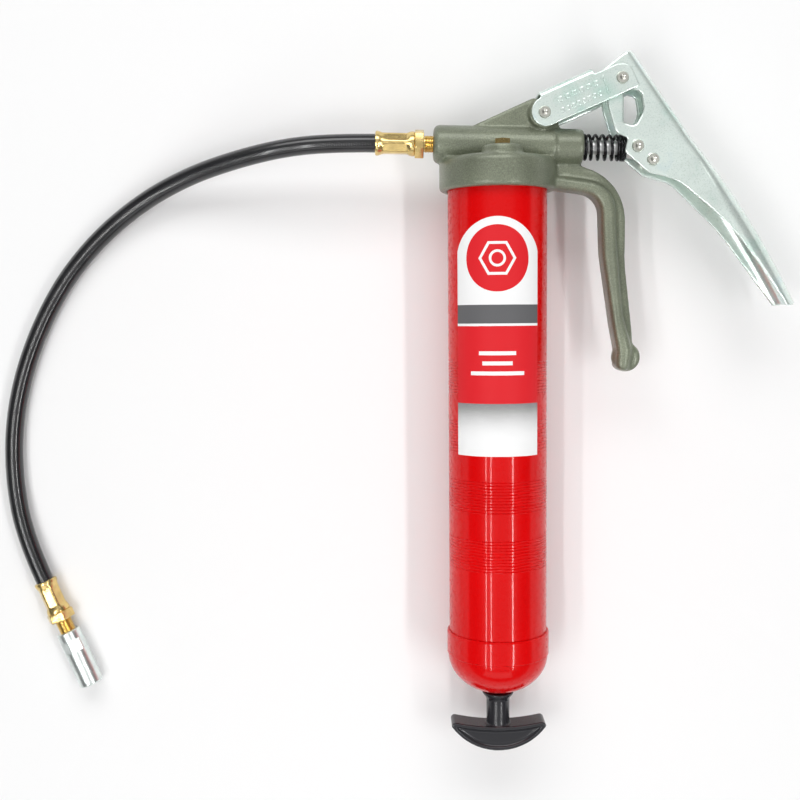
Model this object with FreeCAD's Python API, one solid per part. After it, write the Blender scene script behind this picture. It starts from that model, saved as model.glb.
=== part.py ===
import FreeCAD, Part

import math
import os

from FreeCAD import Placement, Rotation, Vector

# Lever grease gun for 450 g cartridges, lying on its side on a bench.
#
# Sizes are millimetres. The model is built in a working frame whose Y axis is the axis of the
# barrel, pointing at the pump head, with y = 0 at the rim of the end cap, and whose z = 0 is the
# gun's mid-plane. The last step moves everything so that the gun rests on z = 0.

# ---- driving dimensions ----

# barrel and end cap
BARREL_R = 28.5
BARREL_WALL = 1.2
BARREL_LENGTH = 277.5
BARREL_IN_CAP = 12.0
BAND_COUNT = 4
BAND_FIRST_Y = 39.4
BAND_PITCH = 33.6
BAND_RIDGES = 11
RIDGE_PITCH = 1.74
RIDGE_DEPTH = 0.35
CAP_WALL = 1.1
CAP_SKIRT_WALL = 1.35
CAP_SKIRT_LENGTH = 14.0
CAP_STEP = 0.6
CAP_DOME_DEPTH = 23.5

# head casting; heights marked _UP are measured from the pump's axis where it crosses the barrel's
CUP_WALL = 4.65
CUP_GRIP = 10.2
CUP_ROOF = 4.6
CUP_SHOULDER_R = 4.5
CUP_LIP_R = 2.0
CAVITY_DEPTH = 1.5
CAVITY_LEDGE = 2.3
GASKET_HEIGHT = 2.0
PUMP_RISE = 7.7

# pump: its axis falls towards the lever
PUMP_FALL_DEG = 1.6
PLUNGER_R = 3.95
PUMP_WALL = 6.95
PUMP_LEFT_X = -36.6
PUMP_STEP_X = 32.3
PUMP_NOSE_WALL = 6.2
PUMP_NOSE_X = 48.7
PLUNGER_TIP_X = 8.0
INLET_R = 3.0
INLET_X = 3.0
PUMP_CHAMBER_X = -8.0
OUTLET_R = 2.5
CHECK_SEAT_X = -14.0
CHECK_BALL_R = 3.175
CHECK_ROOM = 1.0
CHECK_WIRE = 0.7
SEAL_WALL = 1.65
SEAL_X = 43.5
SEAL_LENGTH = 3.0

# linkage pivots, in the mid-plane
LUG_PIVOT_X = 25.7
LUG_PIVOT_UP = 16.6
LEVER_PIVOT_X = 69.2
LEVER_PIVOT_UP = 35.3
PLUNGER_PIVOT_X = 78.6
SPACER_X = 87.2
SPACER_UP = -9.7
PIN_R = 2.5
RIVET_HEAD_EXTRA = 1.0
RIVET_HEAD_H = 1.1
RIVET_DISH_R = 1.6
RIVET_DISH_DEPTH = 0.5
LUG_BOSS_WALL = 5.9
LUG_THICKNESS = 10.0
EYE_WALL = 3.1
EYE_SIDE_ROOM = 2.5

# lever and link, pressed from sheet
SHEET = 1.5
LEVER_SPRING_ROOM = 0.4
LEVER_BEND_R = 5.5
GRIP_WIDENING = 5.3
GRIP_BEND_R = 10.5
LINK_FLANGE_WALL = 5.7
LINK_NOSE_WALL = 4.7
LINK_HEEL_REACH = 7.3
LINK_WEB_START = 1.2
LINK_WEB_END = 33.9
LINK_WEB_HEIGHT = 11.6
LINK_BEND_R = 3.0

# fixed handle: a wide crossbar on the barrel's side and a thin web on the lever's side
HANDLE_ROOT_X = 24.0
CROSSBAR_WIDTH = 19.0
CROSSBAR_EDGE_R = 3.2
WEB_WIDTH = 6.0
KNOB_X = 74.3
KNOB_UP = -121.6
KNOB_R = 8.4

# return spring
RETURN_SPRING_ROOM = 1.95
RETURN_SPRING_WIRE = 1.7
RETURN_SPRING_TURNS = 4.0
RETURN_SPRING_DEAD_TURNS = 1.4
WASHER_THICKNESS = 1.4

# air vent on the cup
VENT_X = 1.1
VENT_Z = 20.0
VENT_BOSS_R = 11.5
VENT_BOSS_UP = -3.1
VENT_THREAD_R = 3.6
VENT_HEAD_R = 4.65
VENT_HEAD_H = 3.6
VENT_DEPTH = 8.0
VENT_STEM_R = 1.5
VENT_STEM_SHOWN = 0.4
VENT_SPRING_R = 2.4
VENT_SPRING_WIRE = 0.7
VENT_POCKET = 4.5
VENT_COLLAR = 1.0

# follower, its rod and the T-handle
ROD_R = 3.1
ROD_BUSH_WALL = 2.1
FOLLOWER_DOWN = 32.0
FOLLOWER_PLATE_T = 1.5
FOLLOWER_CUP_H = 9.0
FOLLOWER_CUP_WALL = 2.2
BACKING_ROOM = 6.3
BACKING_T = 1.2
STOP_R = 8.0
STOP_T = 1.5
NUT_AF = 10.0
NUT_H = 5.0
FOLLOWER_SPRING_ROOM = 5.3
FOLLOWER_SPRING_WIRE = 2.2
FOLLOWER_SPRING_TURNS = 17.0
FOLLOWER_SPRING_LOW_Y = -23.0
STEM_FLARE_R = 9.3
STEM_R = 6.8
T_HALF_SPAN = 27.9
T_TIP_Y = -54.6
T_WAIST_Y = -57.4
T_LOW_Y = -71.6
T_HALF_DEPTH = 8.0
T_LOBE = 2.4
T_RECESS = 0.9
T_RIM = 2.1

# label on the barrel
LABEL_HALF_WIDTH_DEG = 51.5
LABEL_TURN_DEG = -5.0
LABEL_LOW_Y = 105.7
LABEL_BELOW_CUP = 16.4
LABEL_ARCH = 0.84
LABEL_THICKNESS = 0.15

# hose and its fittings
HOSE_R = 5.3
HOSE_BORE_R = 2.4
THREAD_R = 4.9
THREAD_DEPTH = 8.0
HEAD_THREAD_SHOWN = 5.4
END_THREAD_SHOWN = 8.0
HEX_CORNER_EXTRA = 3.5
HEX_LENGTH = 5.1
HEAD_HEX_TURN_DEG = 21.0
END_HEX_TURN_DEG = 30.0
HEAD_FERRULE_LENGTH = 22.6
END_FERRULE_LENGTH = 21.0
FERRULE_WALL = 0.7
FLARE_WALL = 1.7
SPIGOT_SHORT = 4.0
HOSE_END_GAP = 2.0
NIPPLE_WALL = 0.6

# grease coupler
COUPLER_WALL = 2.25
COUPLER_LENGTH = 35.8
COUPLER_REAR = 18.5
COUPLER_FLAT_DEPTH = 0.55
COUPLER_FLAT_START = 5.6
COUPLER_FLAT_END = 13.0
COUPLER_SPIGOT_WALL = 1.6
COUPLER_SPIGOT = 5.0
COUPLER_CHAMBER = 6.0
COUPLER_SPRING_WIRE = 0.8
NIPPLE_HEAD_R = 3.3
JAW_COUNT = 3
JAW_SLOT = 0.5
END_HEADING_DEG = -67.3

# clearances
RUNNING = 0.05
FIT = 0.02
LINKAGE_GAP = 0.3
LOOP_GAP = 0.35
SEAT_GAP = 0.2
BENCH_GAP = 0.05

# hose route between the fittings: x, height above the pump's axis in the working frame, and how far
# up it is from the bench to the pump's axis, as a share
BENCH_ROOM = 0.1
HOSE_ROUTE = [
    (-95.0, 2.3, 1.0),
    (-123.0, 0.2, 0.892),
    (-152.0, -5.4, 0.640),
    (-181.0, -13.6, 0.331),
    (-210.0, -27.6, 0.0935),
    (-238.0, -49.4, 0.0036),
    (-262.4, -79.1, 0.0),
    (-281.2, -117.5, 0.0),
    (-291.3, -154.5, 0.0),
    (-293.2, -191.0, 0.0072),
]
END_MOUTH_X = -275.7
END_MOUTH_UP = -256.9
END_STRAIGHT = 30.0

# ---- values that follow from them ----

BARREL_BORE_R = BARREL_R - BARREL_WALL
BARREL_LOW_Y = -BARREL_IN_CAP
BARREL_HIGH_Y = BARREL_LOW_Y + BARREL_LENGTH
CAP_R = BARREL_R + RUNNING + CAP_SKIRT_WALL
CAP_HOLE_R = ROD_R + ROD_BUSH_WALL
CUP_R = BARREL_R + RUNNING + CUP_WALL
CUP_LOW_Y = BARREL_HIGH_Y - CUP_GRIP
CAVITY_R = BARREL_BORE_R - CAVITY_LEDGE
CUP_HIGH_Y = BARREL_HIGH_Y + GASKET_HEIGHT + CAVITY_DEPTH + CUP_ROOF
PUMP_Y = CUP_HIGH_Y + PUMP_RISE
REST_HEIGHT = CUP_R
PUMP_BODY_R = PLUNGER_R + PUMP_WALL
PUMP_NOSE_R = PLUNGER_R + PUMP_NOSE_WALL
SEAL_R = PLUNGER_R + SEAL_WALL
CHECK_CHAMBER_R = CHECK_BALL_R + CHECK_ROOM
CHECK_BALL_X = CHECK_SEAT_X - math.sqrt(CHECK_BALL_R ** 2 - OUTLET_R ** 2) - RUNNING
RETURN_SPRING_R = PLUNGER_R + RETURN_SPRING_ROOM + RETURN_SPRING_WIRE
LEVER_HALF_WIDTH = RETURN_SPRING_R + LEVER_SPRING_ROOM + SHEET
GRIP_HALF_WIDTH = LEVER_HALF_WIDTH + GRIP_WIDENING
PLUNGER_EYE_R = PIN_R + EYE_WALL
LUG_BOSS_R = PIN_R + LUG_BOSS_WALL
RIVET_HEAD_R = PIN_R + RIVET_HEAD_EXTRA
LINK_INNER = LEVER_HALF_WIDTH + LINKAGE_GAP
LINK_OUTER = LINK_INNER + SHEET
LINK_HALF_HEIGHT = PIN_R + LINK_FLANGE_WALL
LINK_NOSE = PIN_R + LINK_NOSE_WALL
DOME_R = CAP_R - CAP_STEP
DOME_LOW_Y = -CAP_SKIRT_LENGTH - CAP_DOME_DEPTH
FOLLOWER_Y = BARREL_HIGH_Y - FOLLOWER_DOWN
FOLLOWER_SEAT = FOLLOWER_Y + FOLLOWER_PLATE_T
FOLLOWER_BACKING = FOLLOWER_SEAT + FOLLOWER_CUP_WALL
ROD_STOP = FOLLOWER_BACKING + BACKING_T + SEAT_GAP
VENT_BOSS_Y = PUMP_Y + VENT_BOSS_UP
VENT_LOW_Y = VENT_BOSS_Y - VENT_DEPTH
LABEL_HIGH_Y = CUP_LOW_Y - LABEL_BELOW_CUP
HEX_CORNER_R = THREAD_R + HEX_CORNER_EXTRA
FERRULE_R = HOSE_R + FERRULE_WALL
FERRULE_FLARE_R = HOSE_R + FLARE_WALL
NIPPLE_BORE_R = HOSE_BORE_R - NIPPLE_WALL
COUPLER_R = THREAD_R + COUPLER_WALL
COUPLER_SPIGOT_R = COUPLER_R - COUPLER_SPIGOT_WALL
COUPLER_BACK = COUPLER_REAR - THREAD_DEPTH
COUPLER_TIP = COUPLER_LENGTH - THREAD_DEPTH
JAW_R = NIPPLE_HEAD_R + 1.0
COUPLER_BORE_R = JAW_R + RUNNING * 2
END_AXIS_HEIGHT = max(HEX_CORNER_R * math.cos(math.radians(30)), COUPLER_R, FERRULE_FLARE_R) + BENCH_GAP
X = Vector(1, 0, 0)
Y = Vector(0, 1, 0)
Z = Vector(0, 0, 1)


def above_pump(x, up):
    """A point of the mid-plane from its x and its height above the pump's axis at the barrel."""
    return Vector(x, PUMP_Y + up, 0)


LUG_PIVOT = above_pump(LUG_PIVOT_X, LUG_PIVOT_UP)
LEVER_PIVOT = above_pump(LEVER_PIVOT_X, LEVER_PIVOT_UP)
SPACER_PIVOT = above_pump(SPACER_X, SPACER_UP)
KNOB_CENTRE = above_pump(KNOB_X, KNOB_UP)


def pump_point(x):
    """A point of the pump's axis at a distance x along it from the barrel's axis."""
    turn = math.radians(PUMP_FALL_DEG)
    return Vector(x * math.cos(turn), PUMP_Y - x * math.sin(turn), 0)


# ---- helpers ----

def solid_of(shape):
    """The shape as one solid, or as a compound of its solids."""
    solids = shape.removeSplitter().Solids
    return solids[0] if len(solids) == 1 else Part.makeCompound(solids)


def rod(radius, start, end, axis=Y, at=None):
    """A cylinder along an axis, between two distances from a point."""
    base = (at or Vector()) + axis * start
    return Part.makeCylinder(radius, end - start, base, axis)


def ring(outer, inner, start, end, axis=Y, at=None):
    """A tube along an axis, between two distances from a point."""
    return rod(outer, start, end, axis, at).cut(rod(inner, start - 1, end + 1, axis, at))


def circle_edges(shape, axis, along, radius):
    """Edges that are full circles of a radius at a distance along an axis."""
    found = []
    for edge in shape.Edges:
        curve = edge.Curve
        if not isinstance(curve, Part.Circle):
            continue
        if abs(curve.Radius - radius) < 0.01 and abs(curve.Center.dot(axis) - along) < 0.01:
            found.append(edge)
    return found


def turned(points, axis=Y):
    """A solid of revolution about the Y axis from (radius, y) points, or about X from (radius, x)."""
    corners = [Vector(r, a, 0) if axis == Y else Vector(a, r, 0) for r, a in points]
    face = Part.Face(Part.makePolygon(corners + corners[:1]))
    return solid_of(face.revolve(Vector(), axis, 360))


def rounded_outline(corners):
    """A closed wire through (x, height above the pump's axis, radius) corners, each rounded."""
    points = [above_pump(x, up) for x, up, _ in corners]
    ends = []
    for n, (_, _, radius) in enumerate(corners):
        here = points[n]
        back = (points[n - 1] - here).normalize()
        ahead = (points[(n + 1) % len(points)] - here).normalize()
        if radius == 0:
            ends.append((here, None, here))
            continue
        half = math.acos(max(-1.0, min(1.0, back.dot(ahead)))) / 2
        reach = radius / math.tan(half)
        middle = (back + ahead).normalize()
        apex = here + middle * (radius / math.sin(half) - radius)
        ends.append((here + back * reach, apex, here + ahead * reach))
    edges = []
    for n, (start, apex, stop) in enumerate(ends):
        if apex is not None:
            edges.append(Part.Arc(start, apex, stop).toShape())
        following = ends[(n + 1) % len(ends)][0]
        if stop.distanceToPoint(following) > 1e-6:
            edges.append(Part.LineSegment(stop, following).toShape())
    return Part.Wire(edges)


def plate(wire, low, high):
    """A flat wire in XY made a plate between two heights."""
    return Part.Face(wire).extrude(Z * (high - low)).translated(Z * low)


def both_sides(wire, inner, outer):
    """Two equal plates, one each side of the mid-plane."""
    return [plate(wire, inner, outer), plate(wire, -outer, -inner)]


def long_edges(shape, level):
    """Edges that lie wholly at one height above or below the mid-plane."""
    found = []
    for edge in shape.Edges:
        low, high = edge.BoundBox.ZMin, edge.BoundBox.ZMax
        if high - low < 1e-3 and abs(abs(low) - level) < 1e-3:
            found.append(edge)
    return found


def on_pump(shape):
    """Moves a piece built about the X axis onto the tilted axis of the pump."""
    moved = shape.copy()
    tilt = Placement(Vector(0, PUMP_Y, 0), Rotation(Z, -PUMP_FALL_DEG))
    moved.Placement = tilt.multiply(moved.Placement)
    return moved


def coil(radius, wire, length, turns, dead_turns=0.0):
    """A round-wire compression spring about +Z from z = 0, with closed turns at its ends if any."""
    mean = radius - wire / 2
    dead = wire * 1.04 * dead_turns
    live = length - wire - 2 * dead
    pitches = [(live / turns, live)]
    if dead:
        pitches = [(wire * 1.04, dead)] + pitches + [(wire * 1.04, dead)]
    pieces = []
    height = wire / 2
    angle = 0.0
    for pitch, rise in pitches:
        path = Part.makeHelix(pitch, rise, mean)
        circle = Part.Wire(Part.makeCircle(wire / 2, Vector(mean, 0, 0), Y))
        piece = Part.Wire(path.Edges).makePipeShell([circle], True, True)
        piece.rotate(Vector(), Z, math.degrees(angle))
        piece.translate(Z * height)
        pieces.append(piece)
        height += rise
        angle += 2 * math.pi * rise / pitch
    if len(pieces) == 1:
        return pieces[0]
    return solid_of(pieces[0].multiFuse(pieces[1:]))


def along(shape, axis, was=Z):
    """Turns a piece built along one axis to lie along another."""
    moved = shape.copy()
    moved.Placement = Placement(Vector(), Rotation(was, axis)).multiply(moved.Placement)
    return moved


def hexagon(corner_r, start, end, turn_deg=0.0):
    """A hexagonal prism along X; unturned, two of its corners point up and down."""
    corners = []
    for n in range(7):
        turn = math.radians(60 * n + turn_deg + 90)
        corners.append(Vector(start, corner_r * math.cos(turn), corner_r * math.sin(turn)))
    return Part.Face(Part.makePolygon(corners)).extrude(X * (end - start))


def route_wire(points, radii):
    """Straight runs joined by tangent arcs; appends each arc's radius to radii."""
    edges = []
    here = points[0]
    for n in range(1, len(points) - 1):
        back = points[n - 1] - points[n]
        ahead = points[n + 1] - points[n]
        half_turn = (math.pi - back.getAngle(ahead)) / 2
        reach = 0.45 * min(back.Length, ahead.Length)
        radius = reach / math.tan(half_turn)
        radii.append(radius)
        start = points[n] + back.normalize() * reach
        stop = points[n] + ahead.normalize() * reach
        inward = (back + ahead).normalize()
        apex = points[n] + inward * (radius / math.cos(half_turn) - radius)
        edges.append(Part.LineSegment(here, start).toShape())
        edges.append(Part.Arc(start, apex, stop).toShape())
        here = stop
    edges.append(Part.LineSegment(here, points[-1]).toShape())
    return Part.Wire(edges)


# ---- head casting ----

def cup_blank():
    blank = rod(CUP_R, CUP_LOW_Y, CUP_HIGH_Y)
    blank = blank.makeFillet(CUP_SHOULDER_R, circle_edges(blank, Y, CUP_HIGH_Y, CUP_R))
    return blank.makeFillet(CUP_LIP_R, circle_edges(blank, Y, CUP_LOW_Y, CUP_R))


def pump_blank():
    body = rod(PUMP_BODY_R, PUMP_LEFT_X, PUMP_STEP_X, X)
    body = body.makeFillet(3.5, circle_edges(body, X, PUMP_LEFT_X, PUMP_BODY_R))
    nose = rod(PUMP_NOSE_R, PUMP_STEP_X - 5, PUMP_NOSE_X, X)
    nose = nose.makeFillet(1.5, circle_edges(nose, X, PUMP_NOSE_X, PUMP_NOSE_R))
    return on_pump(body.fuse(nose))


def lug_blank():
    """The web that rises from the pump and the round boss for the link's pin."""
    outline = rounded_outline([
        (-20.6, -2.0, 0),
        (35.4, -2.0, 0),
        (35.4, 7.7, 2.0),
        (LUG_PIVOT_X + 6.7, LUG_PIVOT_UP + 4.2, 2.0),
        (20.5, 26.0, 1.5),
        (-12.6, 11.4, 0),
    ])
    web = plate(outline, -LUG_THICKNESS / 2, LUG_THICKNESS / 2)
    boss = rod(LUG_BOSS_R, -LEVER_HALF_WIDTH, LEVER_HALF_WIDTH, Z, LUG_PIVOT)
    return web.fuse(boss)


def handle_blank():
    """The fixed handle: rounded crossbar, and the web that ends in a flat round knob."""
    crossbar_outline = rounded_outline([
        (HANDLE_ROOT_X, -24.0, 0),
        (58.0, -29.1, 12.0),
        (59.0, -62.0, 60.0),
        (65.2, -104.0, 30.0),
        (67.9, -117.8, 12.0),
        (67.2, -127.8, 3.0),
        (74.2, -131.0, 3.0),
        (77.1, -118.0, 12.0),
        (71.2, -97.5, 40.0),
        (67.4, -55.0, 60.0),
        (66.4, -23.3, 17.0),
        (HANDLE_ROOT_X, -16.9, 0),
    ])
    crossbar = plate(crossbar_outline, -CROSSBAR_WIDTH / 2, CROSSBAR_WIDTH / 2)
    edges = long_edges(crossbar, CROSSBAR_WIDTH / 2)
    edges = [e for e in edges if e.BoundBox.XMax > HANDLE_ROOT_X + 1]
    crossbar = crossbar.makeFillet(CROSSBAR_EDGE_R, edges)
    web_outline = rounded_outline([
        (HANDLE_ROOT_X, -21.3, 0),
        (61.0, -23.3, 16.0),
        (63.2, -59.3, 60.0),
        (71.0, -113.3, 10.0),
        (70.5, -126.0, 2.0),
        (76.0, -126.0, 2.0),
        (78.0, -110.3, 4.0),
        (73.2, -67.3, 60.0),
        (73.4, -12.8, 31.0),
        (HANDLE_ROOT_X, -11.4, 0),
    ])
    web = plate(web_outline, -WEB_WIDTH / 2, WEB_WIDTH / 2)
    knob = rod(KNOB_R, -WEB_WIDTH / 2, WEB_WIDTH / 2, Z, KNOB_CENTRE)
    return crossbar.fuse(solid_of(web.fuse(knob)))


def head_casting():
    """The painted die casting: cup, pump barrel, lug, vent boss and fixed handle in one."""
    vent_axis = Vector(VENT_X, 0, VENT_Z)
    boss = rod(VENT_BOSS_R, CUP_HIGH_Y - 6, VENT_BOSS_Y, Y, vent_axis)
    boss = boss.makeFillet(1.5, circle_edges(boss, Y, VENT_BOSS_Y, VENT_BOSS_R))
    body = cup_blank().multiFuse([pump_blank(), lug_blank(), handle_blank(), boss])
    ceiling = BARREL_HIGH_Y + GASKET_HEIGHT
    cuts = [
        rod(BARREL_R + RUNNING, CUP_LOW_Y - 1, ceiling),
        rod(CAVITY_R, BARREL_HIGH_Y, ceiling + CAVITY_DEPTH),
        rod(PIN_R + RUNNING, -LINK_OUTER, LINK_OUTER, Z, LUG_PIVOT),
        on_pump(rod(PLUNGER_R + RUNNING, PUMP_CHAMBER_X, PUMP_NOSE_X + 1, X)),
        on_pump(rod(OUTLET_R, CHECK_SEAT_X - 1, PUMP_CHAMBER_X + 1, X)),
        on_pump(rod(CHECK_CHAMBER_R, PUMP_LEFT_X, CHECK_SEAT_X, X)),
        on_pump(rod(THREAD_R + FIT, PUMP_LEFT_X - 1, PUMP_LEFT_X + THREAD_DEPTH, X)),
        on_pump(rod(SEAL_R, SEAL_X, PUMP_NOSE_X + 1, X)),
        rod(INLET_R, BARREL_HIGH_Y, PUMP_Y, Y, Vector(INLET_X, 0, 0)),
        rod(VENT_THREAD_R + FIT, VENT_LOW_Y, VENT_BOSS_Y + 1, Y, vent_axis),
        rod(VENT_STEM_R, BARREL_HIGH_Y, VENT_BOSS_Y, Y, vent_axis),
    ]
    for cut in cuts:
        body = body.cut(cut)
    return solid_of(body)


def vent_body():
    """A brass bush with a six-sided head, holding the vent's stem and spring."""
    at = Vector(VENT_X, 0, VENT_Z)
    head = along(hexagon(VENT_HEAD_R, 0, VENT_HEAD_H), Y, X).translated(at + Y * VENT_BOSS_Y)
    body = rod(VENT_THREAD_R, VENT_LOW_Y, VENT_BOSS_Y + 0.5, Y, at).fuse(head)
    body = body.cut(rod(VENT_STEM_R + RUNNING, VENT_LOW_Y - 1, VENT_BOSS_Y + VENT_HEAD_H + 1, Y, at))
    pocket = rod(VENT_SPRING_R + SEAT_GAP, VENT_LOW_Y - 1, VENT_LOW_Y + VENT_POCKET, Y, at)
    return solid_of(body.cut(pocket))


def vent_stem():
    """The push stem; its collar rests under the bush's shoulder."""
    at = Vector(VENT_X, 0, VENT_Z)
    shoulder = VENT_LOW_Y + VENT_POCKET
    stem = rod(VENT_STEM_R, shoulder - VENT_COLLAR, VENT_BOSS_Y + VENT_HEAD_H + VENT_STEM_SHOWN, Y, at)
    collar = rod(VENT_SPRING_R - RUNNING, shoulder - VENT_COLLAR, shoulder - RUNNING, Y, at)
    return solid_of(stem.fuse(collar))


def vent_spring():
    spring = coil(VENT_SPRING_R, VENT_SPRING_WIRE, VENT_POCKET - VENT_COLLAR, 3.0)
    return along(spring, Y).translated(Vector(VENT_X, VENT_LOW_Y, VENT_Z))


# ---- barrel, cap and label ----

def barrel_tube():
    """A drawn tube with bands of fine rolled rings."""
    outer = [(BARREL_R, BARREL_LOW_Y)]
    for band in range(BAND_COUNT):
        start = BAND_FIRST_Y + band * BAND_PITCH
        for ridge in range(BAND_RIDGES):
            y = start + ridge * RIDGE_PITCH
            outer.append((BARREL_R, y))
            outer.append((BARREL_R - RIDGE_DEPTH, y + RIDGE_PITCH * 0.25))
            outer.append((BARREL_R, y + RIDGE_PITCH * 0.5))
    outer.append((BARREL_R, BARREL_HIGH_Y))
    return turned(outer + [(BARREL_BORE_R, BARREL_HIGH_Y), (BARREL_BORE_R, BARREL_LOW_Y)])


def dome_edge(radius, top, depth, hole):
    """The half-ellipse of the dome, from its widest point down to the hole, as one edge."""
    ellipse = Part.Ellipse(Vector(0, top, 0), radius, depth)
    start = 2 * math.pi - math.acos(hole / radius)
    return Part.ArcOfEllipse(ellipse, start, 2 * math.pi).toShape()


def lowest(edge):
    return min((v.Point for v in edge.Vertexes), key=lambda point: point.y)


def end_cap():
    """A deep drawn cap: skirt, a small step, and a domed end with a hole for the rod."""
    step_y = -CAP_SKIRT_LENGTH
    inner_skirt = BARREL_R + RUNNING
    inner_dome = DOME_R - CAP_WALL
    outside = dome_edge(DOME_R, step_y, CAP_DOME_DEPTH, CAP_HOLE_R)
    inside = dome_edge(inner_dome, step_y, CAP_DOME_DEPTH - CAP_WALL, CAP_HOLE_R)
    corners = [
        Vector(DOME_R, step_y, 0),
        Vector(CAP_R, step_y + CAP_STEP, 0),
        Vector(CAP_R, -1.0, 0),
        Vector(CAP_R - 0.5, 0, 0),
        Vector(inner_skirt, 0, 0),
        Vector(inner_skirt, step_y + CAP_STEP, 0),
        Vector(inner_dome, step_y, 0),
    ]
    edges = [Part.LineSegment(a, b).toShape() for a, b in zip(corners, corners[1:])]
    edges.append(inside)
    edges.append(Part.LineSegment(lowest(inside), lowest(outside)).toShape())
    edges.append(outside)
    face = Part.Face(Part.Wire(Part.__sortEdges__(edges)))
    return solid_of(face.revolve(Vector(), Y, 360))


def barrel_label():
    """A printed film round part of the barrel, with an arched top."""
    film = ring(BARREL_R + LABEL_THICKNESS, BARREL_R, LABEL_LOW_Y, LABEL_HIGH_Y)
    half = BARREL_R * math.sin(math.radians(LABEL_HALF_WIDTH_DEG))
    low = LABEL_LOW_Y - 1
    high = LABEL_HIGH_Y - 0.01
    spring_y = LABEL_HIGH_Y - half * LABEL_ARCH
    edges = [
        Part.LineSegment(Vector(half, spring_y, 0), Vector(half, low, 0)).toShape(),
        Part.LineSegment(Vector(half, low, 0), Vector(-half, low, 0)).toShape(),
        Part.LineSegment(Vector(-half, low, 0), Vector(-half, spring_y, 0)).toShape(),
        Part.Arc(Vector(-half, spring_y, 0), Vector(0, high, 0), Vector(half, spring_y, 0)).toShape(),
    ]
    window = Part.Face(Part.Wire(edges)).extrude(Z * (BARREL_R + 5))
    film = film.common(window)
    film.rotate(Vector(), Y, LABEL_TURN_DEG)
    return solid_of(film)


# ---- follower, rod and T-handle ----

def follower_cup():
    """A rubber cup that wipes the bore, open towards the grease."""
    lip_r = BARREL_BORE_R - RUNNING
    return turned([
        (ROD_R + RUNNING, FOLLOWER_SEAT),
        (lip_r - 0.8, FOLLOWER_SEAT),
        (lip_r, FOLLOWER_SEAT + FOLLOWER_CUP_H),
        (lip_r - FOLLOWER_CUP_WALL * 0.6, FOLLOWER_SEAT + FOLLOWER_CUP_H),
        (lip_r - FOLLOWER_CUP_WALL - 0.8, FOLLOWER_BACKING),
        (ROD_R + RUNNING, FOLLOWER_BACKING),
    ])


def t_handle():
    """A moulded pull: flared stem and an anchor-shaped bar with recessed faces."""
    top = DOME_LOW_Y - SEAT_GAP
    stem = turned([
        (0, top), (STEM_FLARE_R, top), (STEM_FLARE_R, top - 1.0), (STEM_R, top - 4.3),
        (STEM_R, T_WAIST_Y - 3), (0, T_WAIST_Y - 3),
    ])
    tip = T_HALF_SPAN
    inner = tip - T_LOBE
    side_y = T_TIP_Y - T_LOBE
    corner = Vector(T_LOBE * 0.3, -T_LOBE * 0.3, 0)
    mirrored = Vector(-corner.x, corner.y, 0)
    left_top, right_top = Vector(-inner, T_TIP_Y, 0), Vector(inner, T_TIP_Y, 0)
    left, right = Vector(-tip, side_y, 0), Vector(tip, side_y, 0)
    outline = Part.Wire([
        Part.Arc(left, Vector(-tip, T_TIP_Y, 0) + corner, left_top).toShape(),
        Part.Arc(left_top, Vector(0, T_WAIST_Y, 0), right_top).toShape(),
        Part.Arc(right_top, Vector(tip, T_TIP_Y, 0) + mirrored, right).toShape(),
        Part.Arc(right, Vector(0, T_LOW_Y, 0), left).toShape(),
    ])
    bar = plate(outline, -T_HALF_DEPTH, T_HALF_DEPTH)
    bar = bar.makeFillet(0.8, long_edges(bar, T_HALF_DEPTH))
    recess = outline.makeOffset2D(-T_RIM)
    for side in (1, -1):
        pocket = plate(recess, 0, T_RECESS + 1)
        face_z = T_HALF_DEPTH - T_RECESS if side > 0 else -T_HALF_DEPTH - 1
        bar = bar.cut(pocket.translated(Z * face_z))
    return solid_of(bar.fuse(stem).cut(rod(ROD_R, T_LOW_Y + 6, top + 1)))


# ---- linkage ----

def rivet(pivot, half_grip):
    """A shouldered rivet with a dished head on each side."""
    top = half_grip + RIVET_HEAD_H
    body = rod(PIN_R, -top, top, Z, pivot)
    for side in (1, -1):
        seat = pivot + Z * (side * half_grip)
        body = body.fuse(Part.makeCone(RIVET_HEAD_R, RIVET_HEAD_R - 0.5, RIVET_HEAD_H, seat, Z * side))
    for side in (1, -1):
        dish = Part.makeCone(RIVET_DISH_R, 0.6, RIVET_DISH_DEPTH, pivot + Z * (side * top), Z * -side)
        body = body.cut(dish)
    return solid_of(body)


def link_outline():
    """Outline of the link's flanges: a lobe at each pivot and a corner past the lever's pivot."""
    e = (LEVER_PIVOT - LUG_PIVOT).normalize()
    n = Vector(-e.y, e.x, 0) * LINK_HALF_HEIGHT
    beyond = e * LINK_NOSE
    corner = LEVER_PIVOT + e * LINK_HEEL_REACH - n
    shoulder = corner + n * 0.2
    b_side = LEVER_PIVOT + beyond
    b_mid = LEVER_PIVOT + (beyond + n) * math.sqrt(0.5)
    return Part.Wire([
        Part.Arc(LUG_PIVOT - n, LUG_PIVOT - beyond, LUG_PIVOT + n).toShape(),
        Part.LineSegment(LUG_PIVOT + n, LEVER_PIVOT + n).toShape(),
        Part.Arc(LEVER_PIVOT + n, b_mid, b_side).toShape(),
        Part.LineSegment(b_side, shoulder).toShape(),
        Part.LineSegment(shoulder, corner).toShape(),
        Part.LineSegment(corner, LUG_PIVOT - n).toShape(),
    ])


def bent_block(start, length, height, half_width, bend):
    """A block along X whose two upper long edges are rounded."""
    block = Part.makeBox(length, height + 5, 2 * half_width, Vector(start, -5, -half_width))
    ridge = [e for e in block.Edges if e.BoundBox.YMin > height - 0.01 and e.BoundBox.XLength > 1]
    return block.makeFillet(bend, ridge)


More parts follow.
